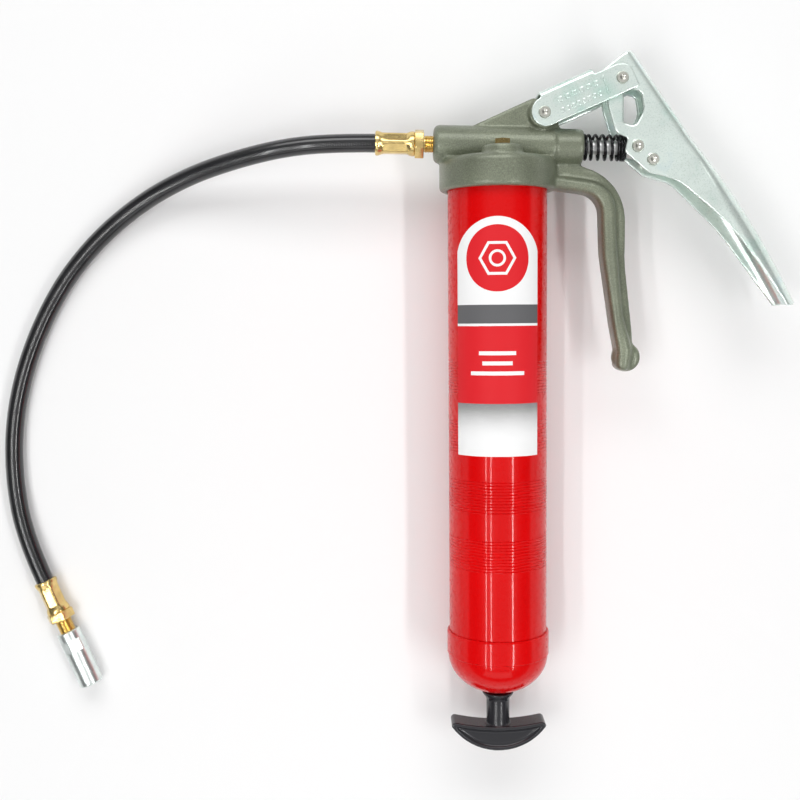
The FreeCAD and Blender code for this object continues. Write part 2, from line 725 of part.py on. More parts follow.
def link_channel():
    """A folded channel: a web over the top and two flanges, straddling lug and lever."""
    chord = LEVER_PIVOT - LUG_PIVOT
    angle = math.degrees(math.atan2(chord.y, chord.x))
    length = LINK_WEB_END - LINK_WEB_START
    block = bent_block(LINK_WEB_START, length, LINK_WEB_HEIGHT, LINK_OUTER, LINK_BEND_R)
    block = block.cut(Part.makeBox(2 * length, 10, 2 * LINK_OUTER, Vector(0, -10, -LINK_OUTER)))
    core_height = LINK_WEB_HEIGHT - SHEET
    core = bent_block(LINK_WEB_START - 1, length + 2, core_height, LINK_INNER, LINK_BEND_R - SHEET)
    web = block.cut(core)
    web.Placement = Placement(LUG_PIVOT, Rotation(Z, angle))
    body = web.multiFuse(both_sides(link_outline(), LINK_INNER, LINK_OUTER))
    for pivot in (LUG_PIVOT, LEVER_PIVOT):
        body = body.cut(rod(PIN_R, -LINK_OUTER - 1, LINK_OUTER + 1, Z, pivot))
    return solid_of(body)


def lever_section(centre, heading, half_width, bend):
    """The lever's outline across its spine: a flat back, rounded corners, two long flanges."""
    inward = Vector(heading.y, -heading.x, 0)
    corner = bend * (1 - math.sqrt(0.5))
    deep = 75.0

    def at(depth, z):
        return centre + inward * depth + Z * z

    low = [at(bend, -half_width), at(corner, corner - half_width), at(0, bend - half_width)]
    high = [at(0, half_width - bend), at(corner, half_width - corner), at(bend, half_width)]
    return Part.Wire([
        Part.LineSegment(at(deep, -half_width), low[0]).toShape(),
        Part.Arc(low[0], low[1], low[2]).toShape(),
        Part.LineSegment(low[2], high[0]).toShape(),
        Part.Arc(high[0], high[1], high[2]).toShape(),
        Part.LineSegment(high[2], at(deep, half_width)).toShape(),
        Part.LineSegment(at(deep, half_width), at(deep, -half_width)).toShape(),
    ])


def lever_bar(inset):
    """The lever before its sides are trimmed, moved in by inset; it widens towards the grip."""
    top, bend = above_pump(75.9, 51.0), above_pump(110.0, 1.8)
    straight = Part.LineSegment(top, bend).toShape()
    bow = Part.Arc(bend, above_pump(144.5, -46.2), above_pump(170.3, -92.6)).toShape()
    stations = [(straight, -0.3, 0), (bow, 0.0, 0), (bow, 0.05, 0.02), (bow, 0.11, 0.12)]
    stations += [(bow, 0.17, 0.3), (bow, 0.23, 0.5), (bow, 0.3, 0.74), (bow, 0.37, 0.91), (bow, 0.45, 0.99)]
    stations += [(bow, 0.6, 1.0), (bow, 0.8, 0.93), (bow, 1.0, 0.7), (bow, 1.15, 0.5)]
    sections = []
    for edge, share, widening in stations:
        where = edge.FirstParameter + share * (edge.LastParameter - edge.FirstParameter)
        centre = edge.Curve.value(where)
        heading = Vector(*edge.Curve.tangent(where)[0])
        inward = Vector(heading.y, -heading.x, 0)
        half_width = LEVER_HALF_WIDTH + widening * GRIP_WIDENING
        corner = LEVER_BEND_R + widening * (GRIP_BEND_R - LEVER_BEND_R)
        section = lever_section(centre + inward * inset, heading, half_width - inset, corner - inset)
        sections.append(section)
    return Part.makeLoft(sections, True, True)


def trigger_lever():
    """A pressed channel with a rounded back: two flanges, window and pivot holes."""
    side = rounded_outline([
        (58.3, 40.2, 2.0),
        (61.6, 19.5, 25.0),
        (66.0, 5.2, 5.0),
        (72.8, 2.2, 1.5),
        (71.0, -5.4, 2.0),
        (84.6, -17.2, 5.0),
        (100.6, -21.2, 25.0),
        (131.6, -49.2, 140.0),
        (163.1, -92.9, 0),
        (178.0, -90.6, 0),
        (125.0, 8.0, 0),
        (86.0, 62.0, 0),
        (75.4, 51.3, 0),
        (70.2, 49.4, 1.5),
    ])
    body = plate(side, -2 * GRIP_HALF_WIDTH, 2 * GRIP_HALF_WIDTH).common(lever_bar(0))
    body = body.cut(lever_bar(SHEET))
    window = rounded_outline([
        (70.5, 10.9, 1.2), (77.2, 9.0, 3.5), (81.8, 17.5, 9.0), (80.2, 28.0, 3.0), (70.5, 29.7, 1.5),
    ])
    body = body.cut(plate(window, -2 * GRIP_HALF_WIDTH, 2 * GRIP_HALF_WIDTH))
    body = body.cut(rod(PIN_R + RUNNING, -LINK_OUTER, LINK_OUTER, Z, LEVER_PIVOT))
    for pivot in (pump_point(PLUNGER_PIVOT_X), SPACER_PIVOT):
        body = body.cut(rod(PIN_R, -LINK_OUTER, LINK_OUTER, Z, pivot))
        for seat in (LEVER_HALF_WIDTH, -LINK_OUTER):
            flat = rod(RIVET_HEAD_R + SEAT_GAP, seat, seat + LINK_OUTER - LEVER_HALF_WIDTH, Z, pivot)
            body = body.cut(flat)
    return solid_of(body)


def pump_plunger():
    """A ground rod with an eye for the lever's pin; the eye's hole leaves room for the link's arc."""
    half_eye = LEVER_HALF_WIDTH - SHEET - EYE_SIDE_ROOM
    body = rod(PLUNGER_R, PLUNGER_TIP_X, PLUNGER_PIVOT_X, X)
    eye = rod(PLUNGER_EYE_R, -half_eye, half_eye, Z, X * PLUNGER_PIVOT_X)
    hole = rod(PIN_R + LOOP_GAP, -LINK_OUTER, LINK_OUTER, Z, X * PLUNGER_PIVOT_X)
    return on_pump(solid_of(body.fuse(eye).cut(hole)))


# ---- hose fittings, built along X with the thread's end at x = 0 and the hose on its left ----

def hex_start(thread_shown):
    return -THREAD_DEPTH - thread_shown - HEX_LENGTH


def nipple(thread_shown, ferrule_length, hex_turn_deg):
    """A hose nipple: threaded end, hexagon and the spigot inside the hose."""
    start = hex_start(thread_shown)
    body = rod(THREAD_R, start, 0, X)
    body = body.fuse(hexagon(HEX_CORNER_R, start, start + HEX_LENGTH, hex_turn_deg))
    body = body.fuse(rod(HOSE_BORE_R, start - ferrule_length + SPIGOT_SHORT, start + 1, X))
    return solid_of(body.cut(rod(NIPPLE_BORE_R, start - ferrule_length, 1, X)))


def ferrule(thread_shown, length):
    """A crimped sleeve over the end of the hose: a waist between two flared ends."""
    right = hex_start(thread_shown)
    left = right - length
    body = turned([
        (0, left), (FERRULE_FLARE_R, left), (FERRULE_FLARE_R, left + 2.6), (FERRULE_R, left + 4.2),
        (FERRULE_R, right - 4.6), (FERRULE_FLARE_R, right - 1.8), (FERRULE_FLARE_R, right), (0, right),
    ], X)
    body = body.cut(rod(HOSE_R, left - 1, right - HOSE_END_GAP, X))
    return solid_of(body.cut(rod(HOSE_BORE_R, left, right + 1, X)))


def at_head(shape):
    moved = shape.copy()
    moved.translate(X * (PUMP_LEFT_X + THREAD_DEPTH))
    return on_pump(moved)


def end_mouth():
    """The middle of the far ferrule's mouth."""
    return above_pump(END_MOUTH_X, END_MOUTH_UP) + Z * (END_AXIS_HEIGHT - REST_HEIGHT)


def at_end(shape):
    """Moves a fitting to the hose's far end, which lies on the bench."""
    turn = Placement(end_mouth(), Rotation(Z, END_HEADING_DEG))
    shift = END_FERRULE_LENGTH - hex_start(END_THREAD_SHOWN)
    moved = shape.copy()
    moved.Placement = turn.multiply(Placement(X * shift, Rotation())).multiply(moved.Placement)
    return moved


def coupler_body():
    """Rear half of the coupler: female thread, wrench flats and a spigot for the nose."""
    start = -THREAD_DEPTH
    flat_start, flat_end = start + COUPLER_FLAT_START, start + COUPLER_FLAT_END
    body = rod(COUPLER_R, start, COUPLER_BACK, X)
    body = body.makeFillet(0.8, circle_edges(body, X, start, COUPLER_R))
    flats = hexagon((COUPLER_R - COUPLER_FLAT_DEPTH) / math.cos(math.radians(30)), flat_start, flat_end)
    body = body.cut(ring(COUPLER_R + 1, 0.5, flat_start, flat_end, X).cut(flats))
    body = body.fuse(rod(COUPLER_SPIGOT_R, COUPLER_BACK - 1, COUPLER_BACK + COUPLER_SPIGOT, X))
    body = body.cut(rod(THREAD_R + FIT, start - 1, 0, X))
    body = body.cut(rod(NIPPLE_BORE_R, -1, COUPLER_BACK, X))
    chamber = rod(COUPLER_BORE_R, COUPLER_BACK - COUPLER_CHAMBER, COUPLER_BACK + COUPLER_SPIGOT + 1, X)
    return solid_of(body.cut(chamber))


def coupler_sleeve():
    """Nose of the coupler: a cap with a tapered mouth that closes the jaws."""
    mouth_r = NIPPLE_HEAD_R + 0.6
    bore_r = JAW_R + 0.3
    body = rod(COUPLER_R, COUPLER_BACK, COUPLER_TIP, X)
    body = body.makeFillet(1.2, circle_edges(body, X, COUPLER_TIP, COUPLER_R))
    body = body.cut(rod(COUPLER_SPIGOT_R + FIT, COUPLER_BACK - 1, COUPLER_BACK + COUPLER_SPIGOT + FIT, X))
    body = body.cut(rod(bore_r, COUPLER_BACK, COUPLER_TIP - 6, X))
    body = body.cut(Part.makeCone(bore_r, mouth_r, 3.0, X * (COUPLER_TIP - 6), X))
    return solid_of(body.cut(rod(mouth_r, COUPLER_TIP - 4, COUPLER_TIP + 1, X)))


def coupler_jaws():
    """Three jaws that grip the nipple's head, cut from one tapered collet."""
    tip = COUPLER_TIP
    back = tip - 11.5
    waist_r = NIPPLE_HEAD_R - 1.1
    lip_r = NIPPLE_HEAD_R + 0.45
    collet = turned([
        (waist_r, back), (JAW_R, back), (JAW_R, tip - 6.8), (lip_r, tip - 3.6), (lip_r, tip - 1.2),
        (NIPPLE_HEAD_R, tip - 1.2), (NIPPLE_HEAD_R, tip - 5.2), (waist_r, tip - 6.3),
    ], X)
    for n in range(JAW_COUNT):
        slot = Part.makeBox(20, 8, JAW_SLOT, Vector(back - 2, 0, -JAW_SLOT / 2))
        slot.rotate(Vector(), X, 360.0 / JAW_COUNT * n + 90)
        collet = collet.cut(slot)
    return solid_of(collet)


# ---- hose ----

def hose_points():
    """The route from the head's fitting to the far fitting, in the working frame."""
    start_x = PUMP_LEFT_X + THREAD_DEPTH + hex_start(HEAD_THREAD_SHOWN) - HEAD_FERRULE_LENGTH
    points = [pump_point(start_x)]
    drop = REST_HEIGHT - HOSE_R - BENCH_ROOM
    for x, up, share in HOSE_ROUTE:
        points.append(above_pump(x, up) - Z * drop * (1 - share))
    heading = Rotation(Z, END_HEADING_DEG).multVec(X)
    points.append(end_mouth() - heading * END_STRAIGHT)
    points.append(end_mouth())
    return points


def hose():
    """The free hose between the mouths of its two ferrules."""
    points = hose_points()
    radii = []
    path = route_wire(points, radii)
    first = (points[1] - points[0]).normalize()
    section = Part.Wire(Part.makeCircle(HOSE_R, points[0], first))
    tube = path.makePipeShell([section], True, False)
    print("hose arc radii", " ".join("%.0f" % r for r in radii))
    share = tube.Volume / (path.Length * math.pi * HOSE_R ** 2)
    print("hose length %.1f, volume ratio %.4f" % (path.Length, share))
    return tube


# ---- all nodes ----

def barrel_nodes():
    ceiling = BARREL_HIGH_Y + GASKET_HEIGHT
    bush_low = DOME_LOW_Y + 0.4
    return {
        "head_casting": head_casting(),
        "barrel_tube": barrel_tube(),
        "barrel_gasket": ring(BARREL_R, CAVITY_R + SEAT_GAP, BARREL_HIGH_Y, ceiling),
        "end_cap": end_cap(),
        "barrel_label": barrel_label(),
        "rod_bush": ring(CAP_HOLE_R - FIT, ROD_R + RUNNING, bush_low, bush_low + 5.2),
        "vent_body": vent_body(),
        "vent_stem": vent_stem(),
        "vent_spring": vent_spring(),
    }


def follower_nodes():
    nut_y = ROD_STOP + STOP_T
    nut = along(hexagon(NUT_AF / math.sqrt(3), 0, NUT_H), Y, X).translated(Y * nut_y)
    spring_r = BARREL_BORE_R - FOLLOWER_SPRING_ROOM
    spring_length = FOLLOWER_Y - FOLLOWER_SPRING_LOW_Y
    spring = coil(spring_r, FOLLOWER_SPRING_WIRE, spring_length, FOLLOWER_SPRING_TURNS)
    bore = ROD_R + RUNNING
    backing_r = BARREL_BORE_R - BACKING_ROOM
    return {
        "follower_rod": rod(ROD_R, T_LOW_Y + 6, nut_y + NUT_H + 3),
        "t_handle": t_handle(),
        "rod_stop_washer": ring(STOP_R, ROD_R, ROD_STOP, nut_y),
        "rod_nut": solid_of(nut.cut(rod(ROD_R, ROD_STOP, nut_y + NUT_H + 1))),
        "follower_plate": ring(BARREL_BORE_R - 1.0, bore, FOLLOWER_Y, FOLLOWER_SEAT),
        "follower_cup": follower_cup(),
        "follower_backing": ring(backing_r, bore, FOLLOWER_BACKING, FOLLOWER_BACKING + BACKING_T),
        "follower_spring": along(spring, Y).translated(Y * FOLLOWER_SPRING_LOW_Y),
    }


def pump_nodes():
    seal_end = SEAL_X + SEAL_LENGTH
    washer_x = PLUNGER_PIVOT_X - PLUNGER_EYE_R - WASHER_THICKNESS
    washer = ring(RETURN_SPRING_R, PLUNGER_R, washer_x, washer_x + WASHER_THICKNESS, X)
    spring = coil(RETURN_SPRING_R, RETURN_SPRING_WIRE, washer_x - PUMP_NOSE_X, RETURN_SPRING_TURNS,
                  RETURN_SPRING_DEAD_TURNS)
    nipple_end = PUMP_LEFT_X + THREAD_DEPTH
    check_length = CHECK_BALL_X - CHECK_BALL_R * 0.75 - nipple_end
    check = coil(CHECK_BALL_R + 0.2, CHECK_WIRE, check_length, 5.0)
    return {
        "pump_plunger": pump_plunger(),
        "plunger_seal": on_pump(ring(SEAL_R - FIT, PLUNGER_R + RUNNING, SEAL_X, seal_end, X)),
        "seal_washer": on_pump(ring(SEAL_R - FIT, PLUNGER_R + RUNNING, seal_end, PUMP_NOSE_X, X)),
        "spring_washer": on_pump(washer),
        "return_spring": on_pump(along(spring, X).translated(X * PUMP_NOSE_X)),
        "check_ball": on_pump(Part.makeSphere(CHECK_BALL_R, X * CHECK_BALL_X)),
        "check_spring": on_pump(along(check, X).translated(X * nipple_end)),
    }


def linkage_nodes():
    return {
        "link_channel": link_channel(),
        "link_pin": rivet(LUG_PIVOT, LINK_OUTER),
        "lever_pin": rivet(LEVER_PIVOT, LINK_OUTER),
        "trigger_lever": trigger_lever(),
        "plunger_pin": rivet(pump_point(PLUNGER_PIVOT_X), LEVER_HALF_WIDTH),
        "spacer_rivet": rivet(SPACER_PIVOT, LEVER_HALF_WIDTH),
    }


def hose_nodes():
    """The hose and all that hangs on it."""
    seal_x = COUPLER_TIP - 13.6
    spring_x = COUPLER_BACK - COUPLER_CHAMBER
    spring = coil(COUPLER_BORE_R - SEAT_GAP, COUPLER_SPRING_WIRE, seal_x - spring_x, 3.0)
    return {
        "hose": hose(),
        "end_ferrule": at_end(ferrule(END_THREAD_SHOWN, END_FERRULE_LENGTH)),
        "end_nipple": at_end(nipple(END_THREAD_SHOWN, END_FERRULE_LENGTH, END_HEX_TURN_DEG)),
        "coupler_body": at_end(coupler_body()),
        "coupler_sleeve": at_end(coupler_sleeve()),
        "coupler_jaws": at_end(coupler_jaws()),
        "coupler_seal": at_end(ring(JAW_R, 1.2, seal_x, seal_x + 2.0, X)),
        "coupler_spring": at_end(along(spring, X).translated(X * spring_x)),
    }


def main():
    """Moves the gun so that the origin is under the middle of its box, and writes the pieces."""
    os.makedirs("parts", exist_ok=True)
    own = {}
    for group in (barrel_nodes(), follower_nodes(), pump_nodes(), linkage_nodes()):
        own.update(group)
    own["head_nipple"] = at_head(nipple(HEAD_THREAD_SHOWN, HEAD_FERRULE_LENGTH, HEAD_HEX_TURN_DEG))
    own["head_ferrule"] = at_head(ferrule(HEAD_THREAD_SHOWN, HEAD_FERRULE_LENGTH))
    box = Part.makeCompound(list(own.values())).optimalBoundingBox(False)
    move = Vector(-box.Center.x, -box.Center.y, REST_HEIGHT)
    print("barrel axis at x %.3f, cap rim at y %.3f, pump at y %.3f" % (move.x, move.y, PUMP_Y + move.y))
    own.update(hose_nodes())
    for name, shape in own.items():
        shape.translated(move).exportStep("parts/%s.step" % name)


main()
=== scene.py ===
"""Grease gun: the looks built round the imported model, laid out as an add-on."""

import math

import bmesh
import bpy
from bpy.props import EnumProperty, FloatProperty, FloatVectorProperty, PointerProperty
from mathutils import Matrix, Vector


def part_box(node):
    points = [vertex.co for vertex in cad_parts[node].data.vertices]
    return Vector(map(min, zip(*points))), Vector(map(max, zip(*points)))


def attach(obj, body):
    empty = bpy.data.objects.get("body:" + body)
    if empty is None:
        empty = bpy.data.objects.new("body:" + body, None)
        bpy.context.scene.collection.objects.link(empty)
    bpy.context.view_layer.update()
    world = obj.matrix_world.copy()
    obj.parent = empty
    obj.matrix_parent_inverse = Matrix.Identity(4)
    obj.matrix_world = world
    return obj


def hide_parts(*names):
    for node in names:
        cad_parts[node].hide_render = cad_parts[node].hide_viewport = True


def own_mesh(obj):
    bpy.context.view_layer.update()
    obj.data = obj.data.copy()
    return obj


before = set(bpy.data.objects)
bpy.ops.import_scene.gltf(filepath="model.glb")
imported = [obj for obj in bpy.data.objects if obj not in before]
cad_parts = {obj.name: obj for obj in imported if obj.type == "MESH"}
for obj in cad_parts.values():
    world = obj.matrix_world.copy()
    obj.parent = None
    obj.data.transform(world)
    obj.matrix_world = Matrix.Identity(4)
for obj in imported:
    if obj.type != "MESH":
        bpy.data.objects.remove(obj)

bl_info = {
    "name": "Grease Gun",
    "version": (1, 0, 0),
    "blender": (4, 5, 0),
    "location": "3D View > Sidebar > Grease Gun",
    "description": "Builds a lever grease gun with its hose, fittings, label and finishes",
    "category": "Add Mesh",
}

# ---- where things are, from the model's own frame ----

BARREL_X = -0.050022
CAP_RIM_Y = -0.130587
AXIS_Z = 0.0332
PUMP_Y = 0.1507128
PUMP_FALL = math.radians(1.6)
END_MOUTH = Vector((-0.325722, -0.106187, 0.0073246))
END_HEADING = math.radians(-67.3)
PUMP = Matrix.Translation((BARREL_X, PUMP_Y, AXIS_Z)) @ Matrix.Rotation(-PUMP_FALL, 4, "Z")
END = Matrix.Translation(END_MOUTH) @ Matrix.Rotation(END_HEADING, 4, "Z")
HEAD_FITTING = PUMP @ Matrix.Translation((-0.0697, 0, 0))
TO_X = Matrix.Rotation(math.pi / 2, 4, "Y")
LUG_PIVOT = Vector((BARREL_X + 0.0257, PUMP_Y + 0.0166, AXIS_Z))
LEVER_PIVOT = Vector((BARREL_X + 0.0692, PUMP_Y + 0.0353, AXIS_Z))
LINK_FACE_Z = AXIS_Z + 0.0113

# the hose's route: the same points as the solid's, in metres
HOSE_POINTS = [
    (-0.119695, 0.152659, 0.0332),
    (-0.145022, 0.153013, 0.0332),
    (-0.173022, 0.150913, 0.0302),
    (-0.202022, 0.145313, 0.0232),
    (-0.231022, 0.137113, 0.0146),
    (-0.260022, 0.123113, 0.0080),
    (-0.288022, 0.101313, 0.0055),
    (-0.312422, 0.071613, 0.0054),
    (-0.331222, 0.033213, 0.0054),
    (-0.341322, -0.003787, 0.0054),
    (-0.343222, -0.040287, 0.0056),
    (-0.337299, -0.078511, 0.0073246),
    (-0.325722, -0.106187, 0.0073246),
]


# ---- settings a user would change ----

class GreaseGunPaint(bpy.types.PropertyGroup):
    """Paint and print colours."""
    barrel: FloatVectorProperty(name="Barrel", description="Gloss enamel on barrel and cap",
                                subtype="COLOR", size=3, min=0, max=1, default=(0.66, 0.0003, 0.0010))
    head: FloatVectorProperty(name="Head", description="Hammered paint on the pump head",
                              subtype="COLOR", size=3, min=0, max=1, default=(0.185, 0.205, 0.145))
    print_red: FloatVectorProperty(name="Print red", description="Red ink on the label",
                                   subtype="COLOR", size=3, min=0, max=1, default=(0.70, 0.009, 0.016))
    print_grey: FloatVectorProperty(name="Print grey", description="Grey ink on the label",
                                    subtype="COLOR", size=3, min=0, max=1, default=(0.12, 0.12, 0.125))
    zinc: FloatVectorProperty(name="Zinc", description="Bright zinc plate on lever and link",
                              subtype="COLOR", size=3, min=0, max=1, default=(0.80, 0.89, 0.845))
    brass: FloatVectorProperty(name="Brass", description="Turned brass fittings",
                               subtype="COLOR", size=3, min=0, max=1, default=(0.80, 0.60, 0.25))


class GreaseGunSizes(bpy.types.PropertyGroup):
    """Sizes of the detailed pieces."""
    hose_diameter: FloatProperty(name="Hose diameter", description="Outside of the hose",
                                 unit="LENGTH", default=0.0106, min=0.004, max=0.02)
    hose_length: FloatProperty(name="Hose length", description="Free hose between the two ferrules",
                               unit="LENGTH", default=0.407, min=0.1, max=1.0)
    spring_wire: FloatProperty(name="Spring wire", description="Wire of the return spring",
                               unit="LENGTH", default=0.0017, min=0.0005, max=0.003)
    spring_radius: FloatProperty(name="Spring radius", description="Outside radius of the return spring",
                                 unit="LENGTH", default=0.0076, min=0.004, max=0.012)
    thread_pitch: FloatProperty(name="Thread pitch", description="Pitch of the pipe thread on the fittings",
                                unit="LENGTH", default=0.000907, min=0.0005, max=0.002)
    hex_corner: FloatProperty(name="Hexagon corner radius", description="From the axis to a corner",
                              unit="LENGTH", default=0.0084, min=0.004, max=0.015)


class GreaseGunStudio(bpy.types.PropertyGroup):
    """Floor and lights."""
    floor: FloatVectorProperty(name="Floor", description="Colour of the floor",
                               subtype="COLOR", size=3, min=0, max=1, default=(0.90, 0.90, 0.90))
    lamps: FloatProperty(name="Lamps", description="Share of the lamps' full power",
                         default=1.0, min=0, max=10)
    world: FloatProperty(name="Surrounding light", description="Strength of the even surrounding light",
                         default=0.9, min=0, max=5)
    view: EnumProperty(name="View", description="How colours are shown",
                       items=[("Standard", "Standard", "Plain display"), ("AgX", "AgX", "Filmic display")],
                       default="Standard")


# ---- materials ----

class Finish:
    """A new node material and short ways to add to it."""

    def __init__(self, name):
        self.material = bpy.data.materials.new(name)
        self.material.use_nodes = True
        self.tree = self.material.node_tree
        self.shader = self.tree.nodes["Principled BSDF"]
        self.coords = self.tree.nodes.new("ShaderNodeTexCoord").outputs["Object"]

    def set(self, **values):
        for name, value in values.items():
            self.shader.inputs[name.replace("_", " ")].default_value = value
        return self

    def join(self, source, target):
        self.tree.links.new(source, target)

    def noise(self, scale, detail=4.0, roughness=0.5, stretch=None, coords=None):
        node = self.tree.nodes.new("ShaderNodeTexNoise")
        node.inputs["Scale"].default_value = scale
        node.inputs["Detail"].default_value = detail
        node.inputs["Roughness"].default_value = roughness
        self.join(self.mapped(stretch, coords), node.inputs["Vector"])
        return node.outputs["Fac"]

    def mapped(self, stretch=None, coords=None):
        coords = coords or self.coords
        if stretch is None:
            return coords
        node = self.tree.nodes.new("ShaderNodeMapping")
        node.inputs["Scale"].default_value = stretch
        self.join(coords, node.inputs["Vector"])
        return node.outputs["Vector"]

    def cells(self, scale, feature="F1"):
        node = self.tree.nodes.new("ShaderNodeTexVoronoi")
        node.feature = feature
        node.inputs["Scale"].default_value = scale
        self.join(self.coords, node.inputs["Vector"])
        return node.outputs["Distance"]

    def ramp(self, source, stops):
        node = self.tree.nodes.new("ShaderNodeValToRGB")
        ramp = node.color_ramp
        while len(ramp.elements) < len(stops):
            ramp.elements.new(0.5)
        for element, (place, colour) in zip(ramp.elements, stops):
            element.position = place
            element.color = (*colour, 1.0) if len(colour) == 3 else colour
        self.join(source, node.inputs["Fac"])
        return node.outputs["Color"]

    def math(self, operation, a, b=None, c=None):
        node = self.tree.nodes.new("ShaderNodeMath")
        node.operation = operation
        for socket, value in zip(node.inputs, (a, b, c)):
            if value is None:
                continue
            if isinstance(value, (int, float)):
                socket.default_value = value
            else:
                self.join(value, socket)
        return node.outputs["Value"]

    def mix(self, share, a, b):
        node = self.tree.nodes.new("ShaderNodeMix")
        node.data_type = "RGBA"
        for name, value in (("Factor", share), ("A", a), ("B", b)):
            socket = [s for s in node.inputs if s.name == name and s.enabled and s.type != "VALUE"
                      or s.name == name == "Factor" and s.type == "VALUE"][0]
            if isinstance(value, (int, float)):
                socket.default_value = value
            elif isinstance(value, (tuple, list)):
                socket.default_value = (*value, 1.0)
            else:
                self.join(value, socket)
        return [s for s in node.outputs if s.type == "RGBA"][0]

    def bump(self, height, strength, distance):
        node = self.tree.nodes.new("ShaderNodeBump")
        node.inputs["Strength"].default_value = strength
        node.inputs["Distance"].default_value = distance
        self.join(height, node.inputs["Height"])
        self.join(node.outputs["Normal"], self.shader.inputs["Normal"])

    def colour(self, source):
        self.join(source, self.shader.inputs["Base Color"])

    def roughness(self, source, low, high):
        spread = self.math("MULTIPLY_ADD", source, high - low, low)
        self.join(spread, self.shader.inputs["Roughness"])


def shade(colour, factor):
    return tuple(min(1.0, c * factor) for c in colour)


def hammered_paint(name, base):
    """Grey-green hammered enamel: soft cells a little over a millimetre wide with darker hollows."""
    f = Finish(name).set(Metallic=0.35, Coat_Weight=0.35)
    f.shader.inputs["Coat Roughness"].default_value = 0.22
    cells = f.cells(900, "SMOOTH_F1")
    speckle = f.noise(1500, 3, 0.6)
    broad = f.noise(35, 3)
    mixed = f.math("ADD", f.math("MULTIPLY", speckle, 0.62), f.math("MULTIPLY", broad, 0.38))
    f.colour(f.ramp(mixed, [(0.30, shade(base, 0.62)), (0.50, base), (0.68, shade(base, 1.55))]))
    f.roughness(speckle, 0.30, 0.52)
    height = f.math("ADD", cells, f.math("MULTIPLY", speckle, 0.5))
    f.bump(height, 0.35, 0.0004)
    return f.material


def gloss_enamel(name, base):
    """Sprayed enamel with a faint orange peel."""
    f = Finish(name).set(Coat_Weight=0.5, Roughness=0.30)
    f.shader.inputs["Coat Roughness"].default_value = 0.05
    f.shader.inputs["Coat IOR"].default_value = 1.40
    f.shader.inputs["Specular IOR Level"].default_value = 0.08
    broad = f.noise(18, 3)
    f.colour(f.ramp(broad, [(0.3, shade(base, 0.94)), (0.7, shade(base, 1.05))]))
    f.roughness(f.noise(300, 4), 0.22, 0.34)
    f.bump(f.noise(300, 2), 0.02, 0.0003)
    return f.material


def bright_zinc(name, base):
    """Bright passivated zinc: clear tints of green and blue, a fine spangle and small scuffs."""
    f = Finish(name).set(Metallic=0.62)
    broad = f.noise(30, 4, 0.6)
    spangle = f.noise(1100, 4, 0.75)
    tint = f.ramp(broad, [(0.30, (base[0] * 0.78, base[1] * 0.92, base[2] * 0.88)), (0.46, base),
                          (0.58, shade(base, 1.08)), (0.74, (base[0] * 0.80, base[1] * 0.90, base[2] * 1.0))])
    marks = f.ramp(spangle, [(0.34, (0.66, 0.70, 0.68)), (0.48, (0.97, 0.98, 0.97)), (0.70, (1.0, 1.0, 1.0))])
    node = f.tree.nodes.new("ShaderNodeMix")
    node.data_type, node.blend_type = "RGBA", "MULTIPLY"
    node.inputs[0].default_value = 0.75
    f.join(tint, node.inputs[6])
    f.join(marks, node.inputs[7])
    f.colour(node.outputs[2])
    f.roughness(f.math("ADD", f.math("MULTIPLY", f.noise(90, 5, 0.65), 0.6), f.math("MULTIPLY", spangle, 0.4)),
                0.10, 0.34)
    f.bump(spangle, 0.10, 0.0002)
    return f.material


def turned_metal(name, base, low, high, scale=1600):
    """Bright turned metal with fine tool marks and a little staining."""
    f = Finish(name).set(Metallic=1.0)
    broad = f.noise(120, 4, 0.6)
    f.colour(f.ramp(broad, [(0.3, shade(base, 0.80)), (0.55, base), (0.75, shade(base, 1.15))]))
    fine = f.noise(scale, 4, 0.7)
    f.roughness(fine, low, high)
    f.bump(fine, 0.08, 0.0001)
    return f.material


def moulded_plastic(name, base):
    """Black moulded plastic with a fine spark-eroded grain."""
    f = Finish(name).set(Roughness=0.34)
    f.shader.inputs["Specular IOR Level"].default_value = 0.5
    grain = f.noise(1900, 3, 0.6)
    f.colour(f.ramp(f.noise(60, 3), [(0.3, shade(base, 0.8)), (0.7, shade(base, 1.5))]))
    f.roughness(grain, 0.26, 0.46)
    f.bump(grain, 0.35, 0.0003)
    return f.material


def hose_cover(name):
    """Smooth black cover, with the faint spiral of the wrap that it was cured in."""
    f = Finish(name).set(Coat_Weight=0.5)
    f.shader.inputs["Coat Roughness"].default_value = 0.12
    uv = f.tree.nodes.new("ShaderNodeTexCoord").outputs["UV"]
    split = f.tree.nodes.new("ShaderNodeSeparateXYZ")
    f.join(uv, split.inputs[0])
    turns = f.math("ADD", f.math("MULTIPLY", split.outputs[0], 330.0), f.math("MULTIPLY", split.outputs[1], 1.0))
    wave = f.math("SINE", f.math("MULTIPLY", turns, 2 * math.pi))
    f.colour(f.ramp(f.noise(80, 3), [(0.3, (0.004, 0.004, 0.005)), (0.7, (0.014, 0.014, 0.016))]))
    f.roughness(f.noise(500, 3), 0.16, 0.30)
    f.bump(f.math("ADD", f.math("MULTIPLY", wave, 0.5), f.noise(900, 3)), 0.14, 0.0003)
    return f.material


